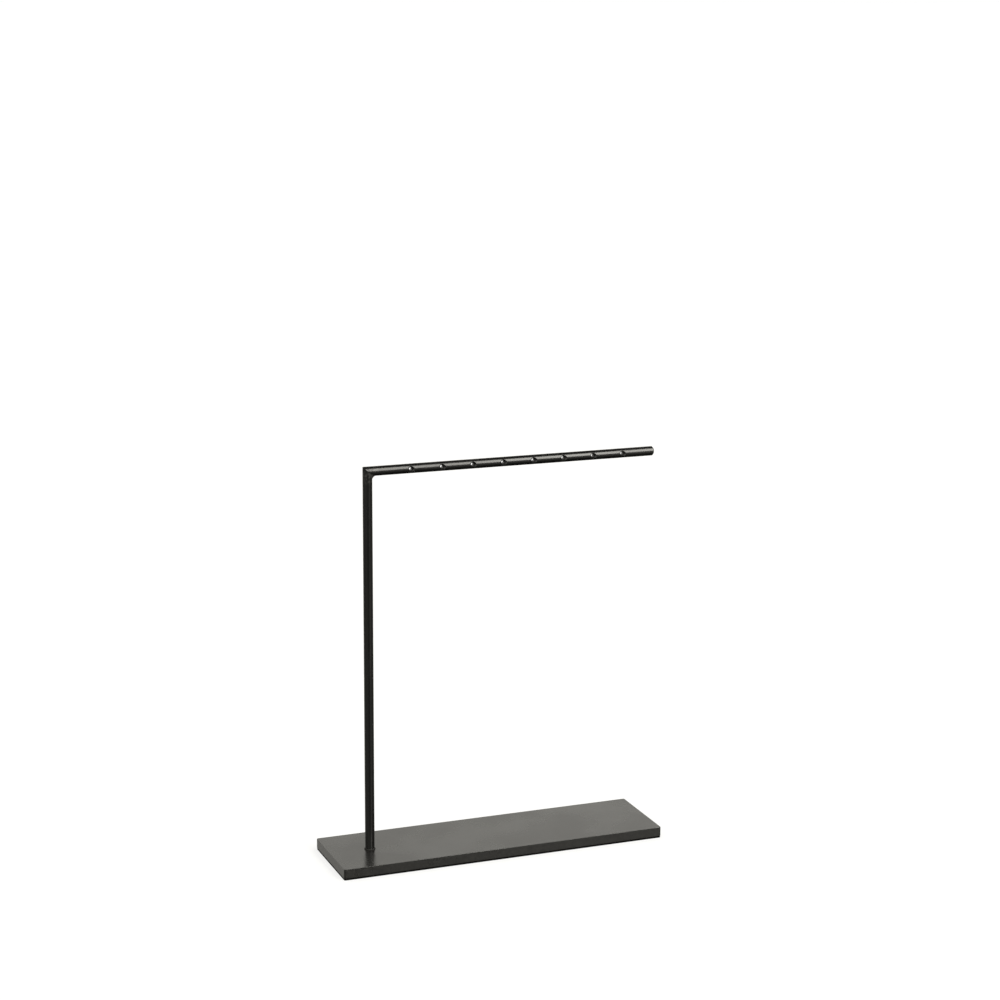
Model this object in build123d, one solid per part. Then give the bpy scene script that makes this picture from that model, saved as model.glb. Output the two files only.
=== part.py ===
from build123d import *
from math import radians, tan
import os

# Eyeglasses display stand: an upside-down L of round steel bar welded to a flat steel base.
# The post stands near the left end of the base, and the arm reaches out over the rest of it.
# Millimetres. X runs along the arm, Y from front to back, Z up. The origin is on the table,
# under the middle of the whole stand.

# Overall
SPAN = 290.0  # from the base's left end to the arm's free end
LEFT_END = -SPAN / 2
FREE_END = SPAN / 2

# Base: a flat bar with rounded corners, on a thin anti-slip mat
MAT_THICKNESS = 1.5
MAT_INSET = 0.2
PLATE_LENGTH = 287.0
PLATE_WIDTH = 78.0
PLATE_THICKNESS = 8.0
PLATE_CORNER_RADIUS = 1.5
PLATE_EDGE_RADIUS = 0.3
PLATE_X = LEFT_END + PLATE_LENGTH / 2
PLATE_TOP = MAT_THICKNESS + PLATE_THICKNESS

# Post and arm: one size of round bar, mitred at the elbow
BAR_RADIUS = 4.0
POST_X = LEFT_END + 35.0
ARM_Z = 334.0
FREE_END_CHAMFER = 1.0

# The post's lower end sits in the plate, above a countersink that is filled with weld
COUNTERSINK_DEPTH = 1.5
COUNTERSINK_RADIUS = 5.5
POST_BOTTOM = MAT_THICKNESS + COUNTERSINK_DEPTH

# Cross holes through the arm, from front to back, each with a wide countersink at both ends
HOLE_COUNT = 8
HOLE_PITCH = 27.0
FIRST_HOLE = 36.5  # from the post's axis
HOLE_RADIUS = 1.25
HOLE_NECK = 3.4  # length of the narrow part between the two countersinks
MOUTH_ANGLE = 76.0  # the countersinks' full angle
CUTTER_LENGTH = 9.0

# Welds
FOOT_WELD_WIDTH = 0.9
FOOT_WELD_HEIGHT = 1.6
FOOT_WELD_BULGE = 0.15
ELBOW_WELD_RADIUS = 3.0  # radius of the hollow of the bead inside the elbow
ELBOW_WELD_TRIM = 0.4  # keeps the bead's edges blunt

# The plane of the mitre, facing the arm's side
ELBOW = Vector(POST_X, 0, ARM_Z)
MITRE = Plane(origin=ELBOW, x_dir=(0, 1, 0), z_dir=(1, 0, 1))


def base_mat():
    """A thin sheet under the plate, set in a little from its edges."""
    outline = RectangleRounded(
        PLATE_LENGTH - 2 * MAT_INSET,
        PLATE_WIDTH - 2 * MAT_INSET,
        PLATE_CORNER_RADIUS - MAT_INSET,
    )
    return Pos(PLATE_X, 0, 0) * extrude(outline, MAT_THICKNESS)


def base_plate():
    """The flat base, with a hole for the post that is countersunk from below."""
    outline = RectangleRounded(PLATE_LENGTH, PLATE_WIDTH, PLATE_CORNER_RADIUS)
    plate = Pos(PLATE_X, 0, MAT_THICKNESS) * extrude(outline, PLATE_THICKNESS)
    rims = plate.faces().sort_by(Axis.Z)[0].edges() + plate.faces().sort_by(Axis.Z)[-1].edges()
    plate = fillet(rims, PLATE_EDGE_RADIUS)
    return plate - post_bar() - plug_weld()


def plug_weld():
    """Weld that fills the countersink under the post, ground flush with the plate's underside."""
    cone = Cone(
        COUNTERSINK_RADIUS,
        BAR_RADIUS,
        COUNTERSINK_DEPTH,
        align=(Align.CENTER, Align.CENTER, Align.MIN),
    )
    return Pos(POST_X, 0, MAT_THICKNESS) * cone


def post_bar():
    """The post before its mitre is cut."""
    length = ARM_Z + 2 * BAR_RADIUS - POST_BOTTOM
    bar = Cylinder(BAR_RADIUS, length, align=(Align.CENTER, Align.CENTER, Align.MIN))
    return Pos(POST_X, 0, POST_BOTTOM) * bar


def arm_bar():
    """The arm before its mitre and its holes are cut, with its free end chamfered."""
    start = POST_X - 2 * BAR_RADIUS
    bar = Cylinder(BAR_RADIUS, FREE_END - start, align=(Align.CENTER, Align.CENTER, Align.MIN))
    bar = chamfer(bar.edges().sort_by(Axis.Z)[-1], FREE_END_CHAMFER)
    return Pos(start, 0, ARM_Z) * Rot(0, 90, 0) * bar


def post():
    """The upright bar, mitred at 45 degrees at its top."""
    return split(post_bar(), bisect_by=MITRE, keep=Keep.BOTTOM)


def hole_cutter():
    """A cross hole with its two countersinks, standing on its axis."""
    depth = (CUTTER_LENGTH - HOLE_NECK) / 2
    mouth_radius = HOLE_RADIUS + depth * tan(radians(MOUTH_ANGLE / 2))
    mouth = Cone(HOLE_RADIUS, mouth_radius, depth, align=(Align.CENTER, Align.CENTER, Align.MIN))
    front = Pos(0, 0, HOLE_NECK / 2) * mouth
    back = Rot(180, 0, 0) * front
    return Cylinder(HOLE_RADIUS, HOLE_NECK) + front + back


def arm():
    """The level bar, mitred at the post and drilled from front to back along its length."""
    bar = split(arm_bar(), bisect_by=MITRE, keep=Keep.TOP)
    cutter = Rot(90, 0, 0) * hole_cutter()
    for i in range(HOLE_COUNT):
        x = POST_X + FIRST_HOLE + i * HOLE_PITCH
        bar -= Pos(x, 0, ARM_Z) * cutter
    return bar


def foot_weld():
    """The ring of weld around the post where it meets the plate."""
    middle_r = BAR_RADIUS + FOOT_WELD_WIDTH / 2 + FOOT_WELD_BULGE
    middle_z = PLATE_TOP + FOOT_WELD_HEIGHT / 2 + FOOT_WELD_BULGE
    inner = (BAR_RADIUS, 0, PLATE_TOP)
    outer = (BAR_RADIUS + FOOT_WELD_WIDTH, 0, PLATE_TOP)
    upper = (BAR_RADIUS, 0, PLATE_TOP + FOOT_WELD_HEIGHT)
    lines = [
        Line(inner, outer),
        ThreePointArc(outer, (middle_r, 0, middle_z), upper),
        Line(upper, inner),
    ]
    ring = revolve(make_face(lines), Axis.Z)
    return Pos(POST_X, 0, 0) * ring


def elbow_weld():
    """The bead in the inner corner of the elbow: the hollow that a ball rolled round it would leave."""
    reach = BAR_RADIUS + ELBOW_WELD_RADIUS
    outline = Ellipse(
        x_radius=BAR_RADIUS - ELBOW_WELD_TRIM / 2,
        y_radius=(2 * BAR_RADIUS + ELBOW_WELD_RADIUS - ELBOW_WELD_TRIM) / 2**0.5,
    )
    block = extrude(MITRE * outline, reach, both=True)
    path = MITRE * EllipticalCenterArc(
        center=(0, 0), x_radius=reach, y_radius=reach * 2**0.5, start_angle=180, arc_size=180
    )
    section = Plane(origin=path @ 0, z_dir=path % 0) * Circle(ELBOW_WELD_RADIUS)
    hollow = sweep(section, path)
    corner = Pos(POST_X + reach, 0, ARM_Z - reach) * Box(2 * reach, 2 * reach, 2 * reach)
    return (block & corner) - post_bar() - arm_bar() - hollow


def main():
    pieces = {
        "base_mat": base_mat(),
        "base_plate": base_plate(),
        "plug_weld": plug_weld(),
        "post": post(),
        "foot_weld": foot_weld(),
        "arm": arm(),
        "elbow_weld": elbow_weld(),
    }
    os.makedirs("parts", exist_ok=True)
    for name, piece in pieces.items():
        export_step(piece, f"parts/{name}.step")


main()
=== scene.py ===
import math

import bpy
from mathutils import Matrix, Vector

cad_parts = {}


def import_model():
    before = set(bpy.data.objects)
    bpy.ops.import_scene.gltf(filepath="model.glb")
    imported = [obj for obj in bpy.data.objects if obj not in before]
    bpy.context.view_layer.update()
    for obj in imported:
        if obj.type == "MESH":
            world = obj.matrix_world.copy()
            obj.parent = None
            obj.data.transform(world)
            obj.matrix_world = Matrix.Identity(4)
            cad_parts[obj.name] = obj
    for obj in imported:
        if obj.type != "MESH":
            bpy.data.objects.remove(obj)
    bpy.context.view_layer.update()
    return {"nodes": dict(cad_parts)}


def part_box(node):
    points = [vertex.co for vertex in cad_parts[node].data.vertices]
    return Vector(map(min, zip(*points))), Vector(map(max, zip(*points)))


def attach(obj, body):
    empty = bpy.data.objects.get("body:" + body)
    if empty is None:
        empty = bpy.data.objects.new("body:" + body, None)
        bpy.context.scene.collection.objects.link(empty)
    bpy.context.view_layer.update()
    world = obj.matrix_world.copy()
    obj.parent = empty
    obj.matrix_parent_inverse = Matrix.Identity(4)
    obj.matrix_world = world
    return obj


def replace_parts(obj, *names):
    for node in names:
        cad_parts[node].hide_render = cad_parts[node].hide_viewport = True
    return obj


MM = 0.001

# Camera, in the stand's own frame: metres and degrees
CAMERA_PLACE = Vector((-0.6961, -1.7920, 0.7279))
CAMERA_YAW = 21.393  # from +Y towards +X
CAMERA_PITCH = 12.493  # downwards
CAMERA_ROLL = 0.316
LENS_MM = 85.2
SENSOR_MM = 36.0
FARTHEST_SEEN = 500.0

# Floor: a light table, so it shows hardly any shadow
FLOOR_HALF_SIDE = 60.0
FLOOR_COLOR = (0.16, 0.16, 0.16)
FLOOR_ROUGHNESS = 0.9
FLOOR_GLOW = 0.7
WHITE = (1.0, 1.0, 1.0, 1.0)

# Studio. Each light fills a range of turns, the angle about the arm's length: 0 in front,
# 90 overhead, 180 behind, negative below. The other pairs are places from side to side, as
# the x of a direction, or the shares of a light at two such places. A light fades smoothly
# between the two values of a pair.
SOFTBOX = 17.5
SOFTBOX_LOW = (3.0, 19.0)
SOFTBOX_HIGH = (59.0, 76.0)
SOFTBOX_SIDE = (0.2, 0.47)
SOFTBOX_SHARES = (0.12, 1.0)  # it is brighter to the right
SOFTBOX_END = (0.46, 0.56)
CEILING = 0.6
CEILING_FRONT = (70.0, 100.0)
CEILING_BACK = (160.0, 175.0)
CEILING_RIGHT = (0.5, 0.65)
CEILING_LEFT = (0.0, 0.2)
WALL = 1.26
WALL_TOP = (142.0, 154.0)
WALL_FOOT = (166.0, 176.0)
WALL_RIGHT = (0.1, 0.5)
WALL_RIGHT_SHARES = (0.92, 1.12)
WALL_LEFT = (-0.45, -0.1)
WALL_LEFT_SHARES = (0.5, 0.0)
GROUND_START = (-181.0, -180.0)  # level behind, with no fade
GROUND_BEHIND = 0.62
GROUND_BEHIND_STOP = (-150.0, -135.0)
GROUND_BEHIND_LEFT = (-0.65, -0.4)
GROUND_BEHIND_RIGHT = (-0.1, 0.15)
GROUND_AT_SIDES = 0.2
GROUND_AT_SIDES_STOP = (-8.0, 0.0)
GROUND_AT_SIDES_FROM = (0.45, 0.7)
GROUND_IN_FRONT = 0.44
GROUND_IN_FRONT_LOW = (-50.0, -25.0)
GROUND_IN_FRONT_HIGH = (-5.0, 15.0)
GROUND_IN_FRONT_SIDE = (0.15, 0.5)
GROUND_IN_FRONT_SHARES = (0.2, 1.8)
GROUND_IN_FRONT_END = (0.46, 0.62)
DARK = 0.02
FILL = 2.0  # what matt surfaces get from all round
STUDIO_TINT = (1.0, 0.98, 0.91, 1.0)

# Finishes: each coat's colour, roughness, index of refraction and depth of orange peel
PLATE_COLOR = (0.0052, 0.0050, 0.0046)
BAR_COLOR = (0.0026, 0.0025, 0.0023)
WELD_COLOR = (0.0045, 0.0043, 0.0040)
# The lighter colour painted in as light: a painted highlight under the elbow and painted light down the
# plate's sides
PAINTED_LIGHT_COLOR = (0.022, 0.021, 0.019)
# The black of the rubber sheet under the plate, dark enough to stand also for the shade under the plate's
# foot: partly the sheet's own colour, partly painted shade
MAT_COLOR = (0.0022, 0.0021, 0.0020)
COAT_ROUGHNESS = 0.27
WELD_ROUGHNESS = 0.5
# The roughness where light is painted in
PAINTED_LIGHT_ROUGHNESS = 0.5
HOLE_ROUGHNESS = 0.4
HOLE_SHADE = 0.5  # painted shade: the coat's colour inside a hole, as a share of its own
COAT_IOR = 1.5
WELD_IOR = 1.3
RUBBER_IOR = 1.2
PLATE_PEEL = 0.003 * MM
BAR_PEEL = 0.004 * MM
WELD_PEEL = 0.012 * MM
STIPPLE_DEPTH = 0.05 * MM

# Textures: how many features there are to a metre
CLOUDS = 22.0
DUST = 60.0
WAVES = 260.0
LUMPS = 330.0
# Patches of the painted highlight under the elbow
HIGHLIGHT_PATCHES = 420.0
# Patches of painted light down the plate's sides
SIDE_PATCHES = 500.0
GRAIN = 900.0
STIPPLE = 1600.0
SPECKS = 2300.0

# Where the coat changes: how far round the elbow, and how deep below the plate's top or inside
# the arm's round the change starts and is complete
LUMPS_REACH = (5.0 * MM, 10.0 * MM)
LUMPS_DEPTH = 1.0 * MM
LUMPS_SHARE = 0.16
# The painted highlight under the elbow: how far below the elbow its middle lies, and where it fades out
HIGHLIGHT_BELOW_ELBOW = 5.0 * MM
HIGHLIGHT_REACH = (3.0 * MM, 7.5 * MM)
# These two depths place the painted light down the plate's sides and the painted shade inside the arm's
# holes
FULL_DEPTH = 1.2 * MM
FIRST_DEPTH = 0.3 * MM

# Welds. A ripple or crown is a share of the bead's own size.
ELBOW_WELD_RADIUS = 3.0 * MM
ELBOW_WELD_SIDE = 62.0  # degrees round the bars, each way from the inside of the elbow
ELBOW_RIPPLES = 9
ELBOW_RIPPLE = 0.04
ELBOW_CROWN = 0.04
ELBOW_ROOT = 0.97  # where the bead's hidden back lies, as a share of the bar's radius
ELBOW_MARGIN = 0.09  # the part of the hollow left out at each side, so the edges stay blunt
FOOT_WELD_WIDTH = 0.85 * MM
FOOT_WELD_HEIGHT = 1.3 * MM
FOOT_WELD_SINK = 0.02 * MM
FOOT_RIPPLES = 22
FOOT_SIZE = 0.93
FOOT_RIPPLE = 0.05
FOOT_SWELL = 0.02
FOOT_BULGE = 0.06


def add_camera():
    """The camera, turned by its yaw, its pitch and then its roll."""
    yaw, pitch, roll = (math.radians(a) for a in (CAMERA_YAW, CAMERA_PITCH, CAMERA_ROLL))
    forward = Vector(
        (math.sin(yaw) * math.cos(pitch), math.cos(yaw) * math.cos(pitch), -math.sin(pitch))
    )
    level = Vector((math.cos(yaw), -math.sin(yaw), 0.0))
    upright = level.cross(forward)
    right = math.cos(roll) * level + math.sin(roll) * upright
    up = math.cos(roll) * upright - math.sin(roll) * level
    data = bpy.data.cameras.new("camera")
    data.lens = LENS_MM
    data.sensor_width = SENSOR_MM
    data.clip_end = FARTHEST_SEEN
    camera = bpy.data.objects.new("camera", data)
    bpy.context.scene.collection.objects.link(camera)
    camera.matrix_world = Matrix.Translation(CAMERA_PLACE) @ Matrix(
        (right, up, -forward)
    ).transposed().to_4x4()
    bpy.context.scene.camera = camera


class Graph:
    """A tree of shader nodes, built one small step at a time."""

    def __init__(self, tree):
        self.nodes, self.links = tree.nodes, tree.links

    def put(self, item, socket):
        """Joins an output to a socket, or sets the socket to a plain value."""
        if isinstance(item, bpy.types.NodeSocket):
            self.links.new(item, socket)
        else:
            socket.default_value = item

    def math(self, operation, *items):
        node = self.nodes.new("ShaderNodeMath")
        node.operation = operation
        for socket, item in zip(node.inputs, items):
            self.put(item, socket)
        return node.outputs[0]

    def vector_math(self, operation, *items):
        """A step on vectors. LENGTH and DISTANCE give a number, every other one a vector."""
        node = self.nodes.new("ShaderNodeVectorMath")
        node.operation = operation
        sockets = [s for s in node.inputs if s.enabled]
        for socket, item in zip(sockets, items):
            self.put(item, socket)
        return node.outputs["Value" if operation in ("LENGTH", "DISTANCE") else "Vector"]

    def ramp(self, source, low, high, at_low=0.0, at_high=1.0):
        """A smooth step from one value to another as the source goes from low to high."""
        node = self.nodes.new("ShaderNodeMapRange")
        node.interpolation_type = "SMOOTHSTEP"
        for item, name in ((source, "Value"), (low, "From Min"), (high, "From Max")):
            self.put(item, node.inputs[name])
        self.put(at_low, node.inputs["To Min"])
        self.put(at_high, node.inputs["To Max"])
        return node.outputs[0]

    def mix(self, share, first, second):
        node = self.nodes.new("ShaderNodeMix")
        node.data_type = "FLOAT"
        for socket, item in zip((node.inputs[0], node.inputs[2], node.inputs[3]), (share, first, second)):
            self.put(item, socket)
        return node.outputs[0]

    def noise(self, place, per_metre, detail=2.0):
        """Soft noise about 0.5, with features one part in per_metre of a metre across."""
        node = self.nodes.new("ShaderNodeTexNoise")
        self.put(place, node.inputs["Vector"])
        node.inputs["Scale"].default_value = per_metre
        node.inputs["Detail"].default_value = detail
        return node.outputs["Fac"]

    def bump(self, height, depth, normal=None):
        node = self.nodes.new("ShaderNodeBump")
        node.inputs["Distance"].default_value = depth
        self.put(height, node.inputs["Height"])
        if normal is not None:
            self.put(normal, node.inputs["Normal"])
        return node.outputs[0]


def new_material(name):
    """An empty material with its graph, its place on the object and its surface shader."""
    mat = bpy.data.materials.new(name)
    mat.use_nodes = True
    graph = Graph(mat.node_tree)
    place = graph.nodes.new("ShaderNodeTexCoord").outputs["Object"]
    return mat, graph, place, graph.nodes["Principled BSDF"]


def coat(name, color, roughness, peel, ior=COAT_IOR, lumps=None, painted_light=None, painted_hole_shade=None):
    """Black powder coat: orange peel, faint cloudiness and the odd speck of dust.

    lumps gives extra unevenness. The other two give the share with painted light, a lighter colour
    and a rougher coat, and the share inside a drilled hole, darkened there as painted shade. All three
    are functions of the graph and the place.
    """
    mat, graph, place, surface = new_material(name)
    clouds = graph.noise(place, CLOUDS, 4.0)
    grain = graph.noise(place, GRAIN, 3.0)
    specks = graph.ramp(graph.noise(place, SPECKS, 1.0), 0.74, 0.8)
    shade = graph.ramp(clouds, 0.3, 0.7, 0.86, 1.14)
    shade = graph.math("MULTIPLY", shade, graph.ramp(grain, 0.25, 0.75, 0.8, 1.2))
    shade = graph.math("ADD", shade, graph.math("MULTIPLY", specks, 3.0))
    rough = graph.ramp(clouds, 0.3, 0.7, roughness - 0.025, roughness + 0.025)
    rough = graph.math("ADD", rough, graph.math("MULTIPLY", specks, 0.3))
    # Inside a hole the colour is darkened: painted shade
    if painted_hole_shade is not None:
        inside = painted_hole_shade(graph, place)
        shade = graph.mix(inside, shade, HOLE_SHADE)
        rough = graph.mix(inside, rough, HOLE_ROUGHNESS)
    tone = graph.vector_math("SCALE", color, shade)
    # Painted light: a lighter colour and a rougher coat on the masked share
    if painted_light is not None:
        lit_share = painted_light(graph, place)
        tone = graph.vector_math("ADD", tone, graph.vector_math("SCALE", PAINTED_LIGHT_COLOR, lit_share))
        rough = graph.mix(lit_share, rough, PAINTED_LIGHT_ROUGHNESS)
    graph.put(tone, surface.inputs["Base Color"])
    graph.put(rough, surface.inputs["Roughness"])
    surface.inputs["IOR"].default_value = ior
    normal = graph.bump(graph.noise(place, WAVES), peel * 4.0)
    normal = graph.bump(grain, peel, normal)
    if lumps is not None:
        normal = graph.bump(lumps(graph, place), LUMPS_DEPTH, normal)
    graph.put(normal, surface.inputs["Normal"])
    return mat


def rubber(name, color):
    """Matt black rubber sheet with a fine stipple and a little dust in it."""
    mat, graph, place, surface = new_material(name)
    stipple = graph.noise(place, STIPPLE)
    dust = graph.ramp(graph.noise(place, DUST, 5.0), 0.5, 0.75)
    shade = graph.math("ADD", graph.ramp(stipple, 0.3, 0.7, 0.7, 1.3), graph.math("MULTIPLY", dust, 0.8))
    graph.put(graph.vector_math("SCALE", color, shade), surface.inputs["Base Color"])
    graph.put(graph.ramp(stipple, 0.3, 0.7, 0.75, 0.9), surface.inputs["Roughness"])
    surface.inputs["IOR"].default_value = RUBBER_IOR
    # Little shine, so the sheet stays as dark as the shade under the plate's foot
    surface.inputs["Specular IOR Level"].default_value = 0.2
    graph.put(graph.bump(stipple, STIPPLE_DEPTH), surface.inputs["Normal"])
    return mat


def elbow_lumps(elbow):
    """Slightly uneven metal where the mitre was welded and dressed."""

    def height(graph, place):
        off = graph.vector_math("SUBTRACT", place, elbow)
        near = graph.ramp(graph.vector_math("LENGTH", off), *LUMPS_REACH, 1.0, 0.0)
        lumps = graph.math("MULTIPLY", graph.noise(off, LUMPS, 1.0), LUMPS_SHARE)
        return graph.math("MULTIPLY", near, lumps)

    return height


def elbow_painted_highlight(elbow):
    """The share of the surface with a painted highlight: lighter patches close under the elbow, where the
    weld gleams.
    """
    middle = elbow + Vector((0.0, 0.0, -HIGHLIGHT_BELOW_ELBOW))

    def share(graph, place):
        off = graph.vector_math("SUBTRACT", place, middle)
        near = graph.ramp(graph.vector_math("LENGTH", off), *HIGHLIGHT_REACH, 1.0, 0.0)
        return graph.math("MULTIPLY", near, graph.ramp(graph.noise(off, HIGHLIGHT_PATCHES, 3.0), 0.42, 0.62))

    return share


def plate_sides_painted_light(plate_top):
    """The share of the surface down the sides of the plate, in patches, that gets painted light: a
    lighter, duller coat.
    """

    def share(graph, place):
        parts = graph.nodes.new("ShaderNodeSeparateXYZ")
        graph.put(place, parts.inputs[0])
        down = graph.ramp(parts.outputs[2], plate_top - FULL_DEPTH, plate_top - FIRST_DEPTH, 1.0, 0.0)
        side_patches = graph.ramp(graph.noise(place, SIDE_PATCHES, 4.0), 0.2, 0.8, 0.03, 0.3)
        return graph.math("MULTIPLY", down, side_patches)

    return share


def inside_arm(arm_z, radius):
    """The share of the surface that lies inside the arm's round, so on the wall of one of its holes, where
    the coat is painted darker as shade.
    """

    def share(graph, place):
        parts = graph.nodes.new("ShaderNodeSeparateXYZ")
        graph.put(place, parts.inputs[0])
        up = graph.math("SUBTRACT", parts.outputs[2], arm_z)
        squares = [graph.math("MULTIPLY", side, side) for side in (parts.outputs[1], up)]
        from_axis = graph.math("SQRT", graph.math("ADD", *squares))
        return graph.ramp(from_axis, radius - FULL_DEPTH, radius - FIRST_DEPTH, 1.0, 0.0)

    return share


def add_piece(name, points, faces, material):
    """A smooth-shaded mesh piece that belongs to the object."""
    mesh = bpy.data.meshes.new(name)
    mesh.from_pydata(points, [], faces)
    mesh.polygons.foreach_set("use_smooth", [True] * len(faces))
    mesh.materials.append(material)
    piece = bpy.data.objects.new(name, mesh)
    bpy.context.scene.collection.objects.link(piece)
    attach(piece, "root")
    return piece


def tube_faces(rows, columns, closed):
    """Quads over rows of points. Each row is a closed loop, and closed joins the last row to the first."""
    faces = []
    for i in range(rows if closed else rows - 1):
        a, b = i * columns, (i + 1) % rows * columns
        for j in range(columns):
            k = (j + 1) % columns
            faces.append((a + j, a + k, b + k, b + j))
    if not closed:
        faces.append(tuple(range(columns))[::-1])
        faces.append(tuple((rows - 1) * columns + j for j in range(columns)))
    return faces


def foot_weld(post, plate_top, bar_radius, material):
    """A ring of small overlapping ripples where the post stands on the plate."""
    around, across = 264, 12
    points = []
    for i in range(around):
        turn = math.tau * i / around
        phase = turn * FOOT_RIPPLES + 1.3 * math.sin(2 * turn) + 0.8 * math.sin(5 * turn + 1.0)
        size = FOOT_SIZE + FOOT_RIPPLE * math.cos(phase) + FOOT_SWELL * math.sin(3 * turn + 0.5)
        loop = [(0.0, 0.0)]
        for j in range(across):
            angle = math.pi / 2 * j / (across - 1)
            bulge = 1.0 + FOOT_BULGE * math.sin(2 * angle)
            flat = 0.5 + 0.5 * (abs(math.cos(angle)) + abs(math.sin(angle))) ** -1
            loop.append(
                (
                    FOOT_WELD_WIDTH * size * math.cos(angle) * flat * bulge,
                    FOOT_WELD_HEIGHT * size * math.sin(angle) * flat * bulge,
                )
            )
        for out, up in loop:
            r = bar_radius - FOOT_WELD_SINK + out
            points.append((post + r * math.cos(turn), r * math.sin(turn), plate_top + up))
    return add_piece("foot_bead", points, tube_faces(around, across + 1, True), material)


def elbow_weld(elbow, bar_radius, material):
    """The hollow bead inside the elbow: a rolled hollow, with the ripples of the weld across it."""
    along, across = 150, 16
    reach = bar_radius + ELBOW_WELD_RADIUS
    points = []
    for i in range(along):
        share = 2 * i / (along - 1) - 1
        turn = math.radians(ELBOW_WELD_SIDE) * share
        out, side = math.cos(turn), math.sin(turn)
        middle = elbow + Vector((reach * out, reach * side, -reach * out))
        to_post = Vector((-out, -side, 0.0))
        to_arm = Vector((0.0, -side, out))
        phase = ELBOW_RIPPLES * math.pi * share + 0.9 * math.sin(4 * share)
        end = 1.0 - 0.6 * abs(share) ** 6
        wide = math.acos(max(-1.0, min(1.0, to_post.dot(to_arm))))
        points.append(elbow + bar_radius * ELBOW_ROOT * Vector((out, side, -out)))
        for j in range(across):
            s = ELBOW_MARGIN + (1 - 2 * ELBOW_MARGIN) * j / (across - 1)
            ray = (to_post * math.sin((1 - s) * wide) + to_arm * math.sin(s * wide)) / math.sin(wide)
            crown = math.sin(math.pi * (j / (across - 1)))
            ripple = ELBOW_RIPPLE * math.cos(phase + 12.0 * (s - 0.5) ** 2)
            raised = crown * (ELBOW_CROWN + ripple) * end
            points.append(middle + ray * ELBOW_WELD_RADIUS * (1.0 - raised))
    return add_piece("elbow_bead", points, tube_faces(along, across + 1, False), material)


def add_floor():
    """A plain pale light table. The coat mirrors the studio below the horizon instead of it."""
    s = FLOOR_HALF_SIDE
    mesh = bpy.data.meshes.new("floor")
    mesh.from_pydata([(-s, -s, 0), (s, -s, 0), (s, s, 0), (-s, s, 0)], [], [(0, 1, 2, 3)])
    floor = bpy.data.objects.new("floor", mesh)
    bpy.context.scene.collection.objects.link(floor)
    mat, graph, place, surface = new_material("paper")
    shade = graph.ramp(graph.noise(place, 40.0, 4.0), 0.3, 0.7, 0.99, 1.0)
    graph.put(graph.vector_math("SCALE", FLOOR_COLOR, shade), surface.inputs["Base Color"])
    surface.inputs["Roughness"].default_value = FLOOR_ROUGHNESS
    surface.inputs["Specular IOR Level"].default_value = 0.0
    surface.inputs["Emission Color"].default_value = WHITE
    surface.inputs["Emission Strength"].default_value = FLOOR_GLOW
    mesh.materials.append(mat)
    floor.visible_glossy = False


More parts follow.
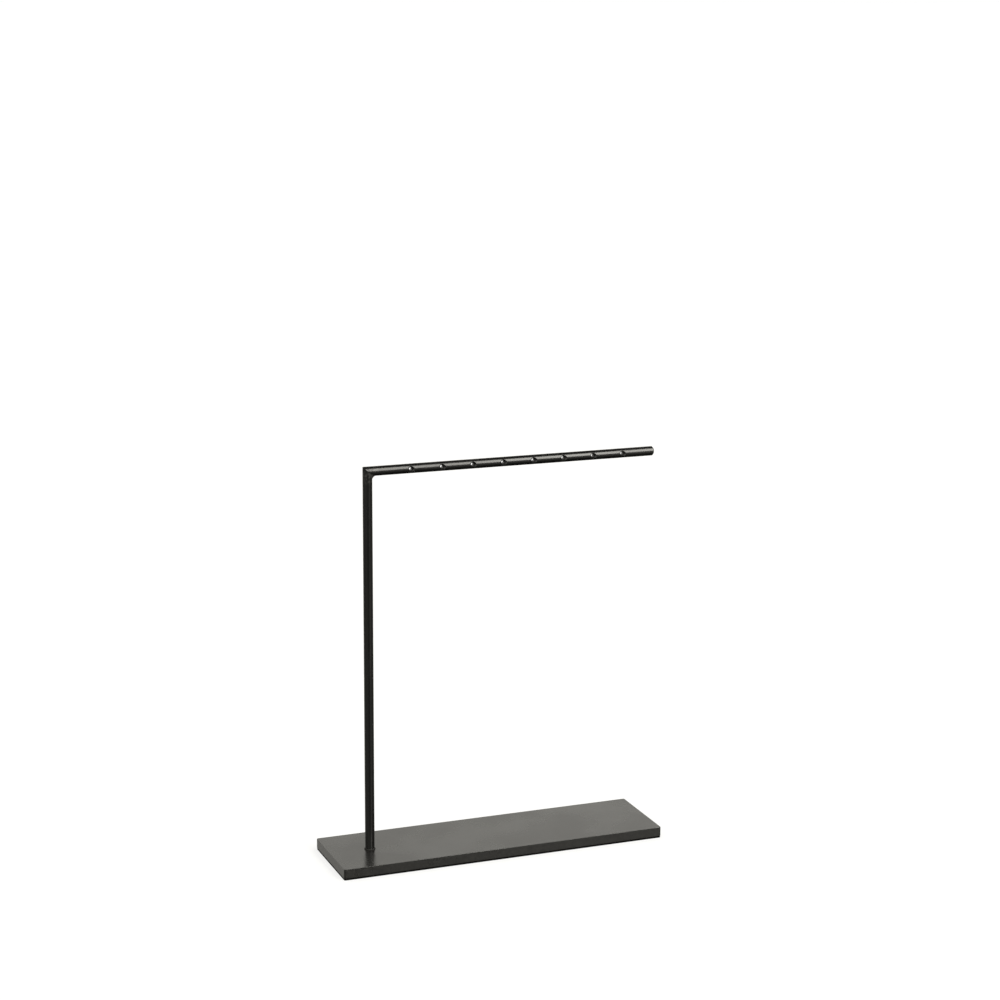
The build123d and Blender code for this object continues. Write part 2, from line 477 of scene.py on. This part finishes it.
def add_studio():
    """Soft light by direction: a softbox in front, a ceiling, a pale wall behind and a dim ground.

    A shiny surface mirrors these lights, matt reflection gets FILL from all round, and the
    camera itself sees plain white.
    """
    world = bpy.data.worlds.new("studio")
    bpy.context.scene.world = world
    world.use_nodes = True
    graph = Graph(world.node_tree)
    graph.nodes.clear()
    parts = graph.nodes.new("ShaderNodeSeparateXYZ")
    graph.put(graph.nodes.new("ShaderNodeTexCoord").outputs["Generated"], parts.inputs[0])
    x, y, z = parts.outputs
    turn = graph.math("DEGREES", graph.math("ARCTAN2", z, graph.math("MULTIPLY", y, -1.0)))

    def light(strength, rises, falls, *shares):
        """A band of light between two turns, times any further shares."""
        band = graph.math("MULTIPLY", graph.ramp(turn, *rises), graph.ramp(turn, *falls, 1.0, 0.0))
        for share in shares:
            band = graph.math("MULTIPLY", band, share)
        return graph.math("MULTIPLY", band, strength)

    lights = [
        light(
            SOFTBOX,
            SOFTBOX_LOW,
            SOFTBOX_HIGH,
            graph.ramp(x, *SOFTBOX_SIDE, *SOFTBOX_SHARES),
            graph.ramp(x, *SOFTBOX_END, 1.0, 0.0),
        ),
        light(CEILING, CEILING_FRONT, CEILING_BACK, graph.ramp(x, *CEILING_RIGHT)),
        light(CEILING, CEILING_FRONT, CEILING_BACK, graph.ramp(x, *CEILING_LEFT, 1.0, 0.0)),
        light(WALL, WALL_TOP, WALL_FOOT, graph.ramp(x, *WALL_RIGHT, *WALL_RIGHT_SHARES)),
        light(WALL, WALL_TOP, WALL_FOOT, graph.ramp(x, *WALL_LEFT, *WALL_LEFT_SHARES)),
        light(
            GROUND_BEHIND,
            GROUND_START,
            GROUND_BEHIND_STOP,
            graph.ramp(x, *GROUND_BEHIND_LEFT),
            graph.ramp(x, *GROUND_BEHIND_RIGHT, 1.0, 0.0),
        ),
        light(
            GROUND_AT_SIDES,
            GROUND_START,
            GROUND_AT_SIDES_STOP,
            graph.ramp(graph.math("ABSOLUTE", x), *GROUND_AT_SIDES_FROM),
        ),
        light(
            GROUND_IN_FRONT,
            GROUND_IN_FRONT_LOW,
            GROUND_IN_FRONT_HIGH,
            graph.ramp(x, *GROUND_IN_FRONT_SIDE, *GROUND_IN_FRONT_SHARES),
            graph.ramp(x, *GROUND_IN_FRONT_END, 1.0, 0.0),
        ),
    ]
    total = DARK
    for each in lights:
        total = graph.math("ADD", each, total)
    path = graph.nodes.new("ShaderNodeLightPath")
    total = graph.mix(path.outputs["Is Diffuse Ray"], total, FILL)
    total = graph.mix(path.outputs["Is Camera Ray"], total, 1.0)
    background = graph.nodes.new("ShaderNodeBackground")
    tint = graph.nodes.new("ShaderNodeMix")
    tint.data_type = "RGBA"
    graph.put(path.outputs["Is Camera Ray"], tint.inputs[0])
    color_for_coat, color_for_camera = tint.inputs[6], tint.inputs[7]
    color_for_coat.default_value = STUDIO_TINT
    color_for_camera.default_value = WHITE
    graph.put(tint.outputs[2], background.inputs["Color"])
    graph.put(total, background.inputs["Strength"])
    out = graph.nodes.new("ShaderNodeOutputWorld")
    graph.put(background.outputs[0], out.inputs[0])


def finish_nodes(nodes, finishes):
    """Gives each CAD node its finish."""
    for name, node in nodes.items():
        for slot in node.material_slots:
            slot.material = finishes[name]


def main():
    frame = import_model()
    arm_low, arm_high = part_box("arm")
    post_low, post_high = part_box("post")
    plate_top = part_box("base_plate")[1][2]
    bar_radius = (arm_high[1] - arm_low[1]) / 2
    post = (post_low[0] + post_high[0]) / 2
    arm_z = arm_high[2] - bar_radius
    elbow = Vector((post, 0.0, arm_z))

    lumps = elbow_lumps(elbow)
    # A painted highlight under the elbow, on the post and the welds
    painted_light = elbow_painted_highlight(elbow)
    # Painted shade inside the arm's holes
    inside = inside_arm(arm_z, bar_radius)
    # Painted light down the plate's sides
    sides = plate_sides_painted_light(plate_top)
    plate_coat = coat("plate_coat", PLATE_COLOR, COAT_ROUGHNESS, PLATE_PEEL, painted_light=sides)
    post_coat = coat("post_coat", BAR_COLOR, COAT_ROUGHNESS, BAR_PEEL, lumps=lumps, painted_light=painted_light)
    arm_coat = coat("arm_coat", BAR_COLOR, COAT_ROUGHNESS, BAR_PEEL, lumps=lumps, painted_hole_shade=inside)
    weld_coat = coat("weld_coat", WELD_COLOR, WELD_ROUGHNESS, WELD_PEEL, WELD_IOR, painted_light=painted_light)
    mat_rubber = rubber("mat_rubber", MAT_COLOR)
    finish_nodes(
        frame["nodes"],
        {
            "base_mat": mat_rubber,
            "base_plate": plate_coat,
            "plug_weld": weld_coat,
            "post": post_coat,
            "foot_weld": weld_coat,
            "arm": arm_coat,
            "elbow_weld": weld_coat,
        },
    )
    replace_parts(foot_weld(post, plate_top, bar_radius, weld_coat), "foot_weld")
    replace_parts(elbow_weld(elbow, bar_radius, weld_coat), "elbow_weld")

    add_camera()
    add_floor()
    add_studio()
    bpy.context.scene.view_settings.view_transform = "Standard"


main()
